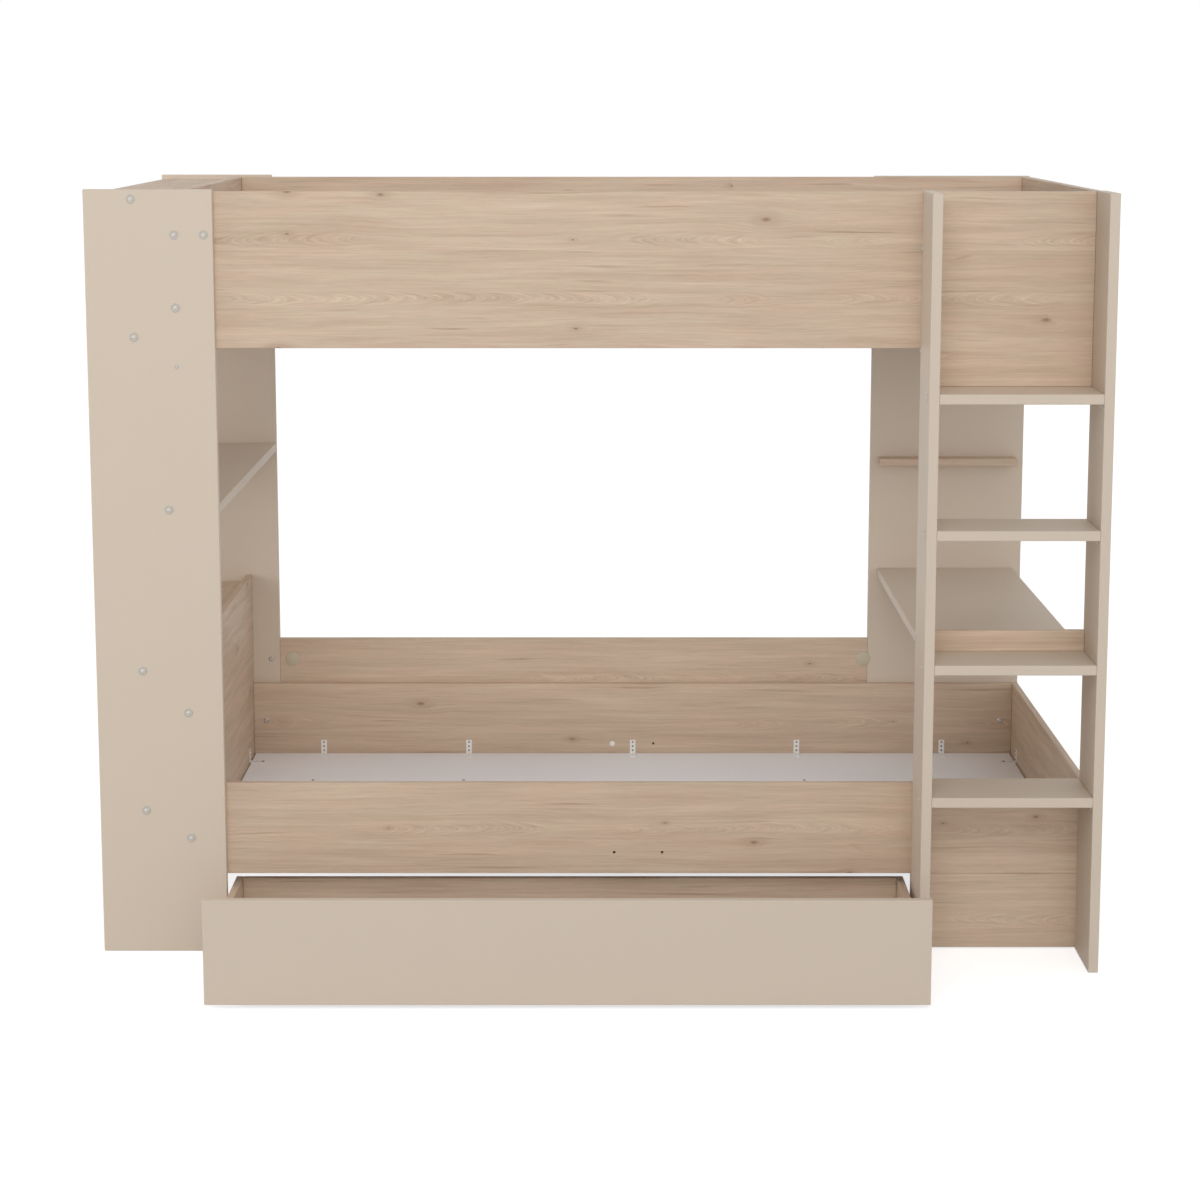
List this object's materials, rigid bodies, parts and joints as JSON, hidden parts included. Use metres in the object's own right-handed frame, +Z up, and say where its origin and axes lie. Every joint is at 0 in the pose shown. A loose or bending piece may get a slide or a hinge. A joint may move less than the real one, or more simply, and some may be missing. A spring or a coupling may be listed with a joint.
{
  "type": "bunk bed",
  "caption": "Bunk bed of lacquered and wood-grain boards with an open shelf tower, a ladder, a desk, a picture ledge and a long drawer on castors.",
  "frame": {"origin": "middle of the footprint at floor level, with the drawer out as in the picture", "axes": "+X along the bed from the shelf tower to the ladder end, +Y from the ladder side to the wall side, +Z up"},
  "size_m": [2.236, 1.3356, 1.728],
  "materials": {
    "greige_lacquer": "matt greige lacquer-look melamine on particle board",
    "oak_decor": "pale oak-look melamine with fine grain",
    "white_sheet": "off-white melamine sheet",
    "raw_batten": "planed pine, untreated",
    "zinc_steel": "bright zinc",
    "cover_cap": "satin moulded plastic",
    "castor_shell": "moulded black-grey plastic",
    "castor_tyre": "soft grey rubber tread"
  },
  "bodies": {
    "bed": {"tower_front_panel": "greige_lacquer", "tower_rear_panel": "greige_lacquer", "tower_top_board": "oak_decor", "tower_upper_shelf": "oak_decor", "tower_middle_shelf": "greige_lacquer", "tower_lower_shelf": "oak_decor", "tower_bottom_shelf": "oak_decor", "ladder_left_upright": "greige_lacquer", "ladder_right_upright": "greige_lacquer", "ladder_step_1": "greige_lacquer", "ladder_step_2": "greige_lacquer", "ladder_step_3": "greige_lacquer", "ladder_step_4": "greige_lacquer", "ladder_infill_panel": "oak_decor", "desk_front_lip": "oak_decor", "foot_rear_panel": "greige_lacquer", "desk_top": "greige_lacquer", "picture_ledge": "oak_decor", "kick_panel": "oak_decor", "upper_front_guard": "oak_decor", "upper_rear_guard": "oak_decor", "upper_head_board": "oak_decor", "upper_foot_board": "oak_decor", "upper_batten_1": "raw_batten", "upper_batten_2": "raw_batten", "upper_batten_3": "raw_batten", "upper_batten_4": "raw_batten", "upper_batten_5": "raw_batten", "upper_base": "white_sheet", "lower_front_board": "oak_decor", "lower_rear_board": "oak_decor", "lower_head_board": "oak_decor", "lower_foot_board": "oak_decor", "lower_batten_1": "raw_batten", "lower_batten_2": "raw_batten", "lower_batten_3": "raw_batten", "lower_batten_4": "raw_batten", "lower_batten_5": "raw_batten", "lower_base": "white_sheet", "rear_middle_board": "oak_decor", "base_bracket_1": "zinc_steel", "base_bracket_2": "zinc_steel", "base_bracket_3": "zinc_steel", "base_bracket_4": "zinc_steel", "base_bracket_5": "zinc_steel", "base_bracket_head": "zinc_steel", "base_bracket_foot": "zinc_steel"},
    "drawer": {"drawer_front": "greige_lacquer", "drawer_bottom": "white_sheet", "drawer_left_side": "oak_decor", "drawer_right_side": "oak_decor", "drawer_back": "oak_decor", "castor_housing_front_left": "castor_shell", "castor_housing_front_right": "castor_shell", "castor_housing_rear_left": "castor_shell", "castor_housing_rear_right": "castor_shell"},
    "wheel_front_left": {"castor_wheel_front_left": "castor_tyre"},
    "wheel_front_right": {"castor_wheel_front_right": "castor_tyre"},
    "wheel_rear_left": {"castor_wheel_rear_left": "castor_tyre"},
    "wheel_rear_right": {"castor_wheel_rear_right": "castor_tyre"}
  },
  "joints": [
    {"name": "drawer_slide", "type": "slide", "parent": "bed", "child": "drawer", "axis": [0, -1, 0], "range_m": [-0.353, 0.1]},
    {"name": "wheel_front_left_spin", "type": "hinge", "parent": "drawer", "child": "wheel_front_left", "pos_m": [-0.7355, -0.58975, 0.016], "axis": [1, 0, 0], "range_deg": [-1270, 360]},
    {"name": "wheel_front_right_spin", "type": "hinge", "parent": "drawer", "child": "wheel_front_right", "pos_m": [0.6185, -0.58975, 0.016], "axis": [1, 0, 0], "range_deg": [-1270, 360]},
    {"name": "wheel_rear_left_spin", "type": "hinge", "parent": "drawer", "child": "wheel_rear_left", "pos_m": [-0.7355, -0.29375, 0.016], "axis": [1, 0, 0], "range_deg": [-1270, 360]},
    {"name": "wheel_rear_right_spin", "type": "hinge", "parent": "drawer", "child": "wheel_rear_right", "pos_m": [0.6185, -0.29375, 0.016], "axis": [1, 0, 0], "range_deg": [-1270, 360]}
  ],
  "couplings": [
    {"joint": "wheel_front_left_spin", "follows": "drawer_slide", "rad_per_m": 62.5},
    {"joint": "wheel_front_right_spin", "follows": "drawer_slide", "rad_per_m": 62.5},
    {"joint": "wheel_rear_left_spin", "follows": "drawer_slide", "rad_per_m": 62.5},
    {"joint": "wheel_rear_right_spin", "follows": "drawer_slide", "rad_per_m": 62.5}
  ]
}
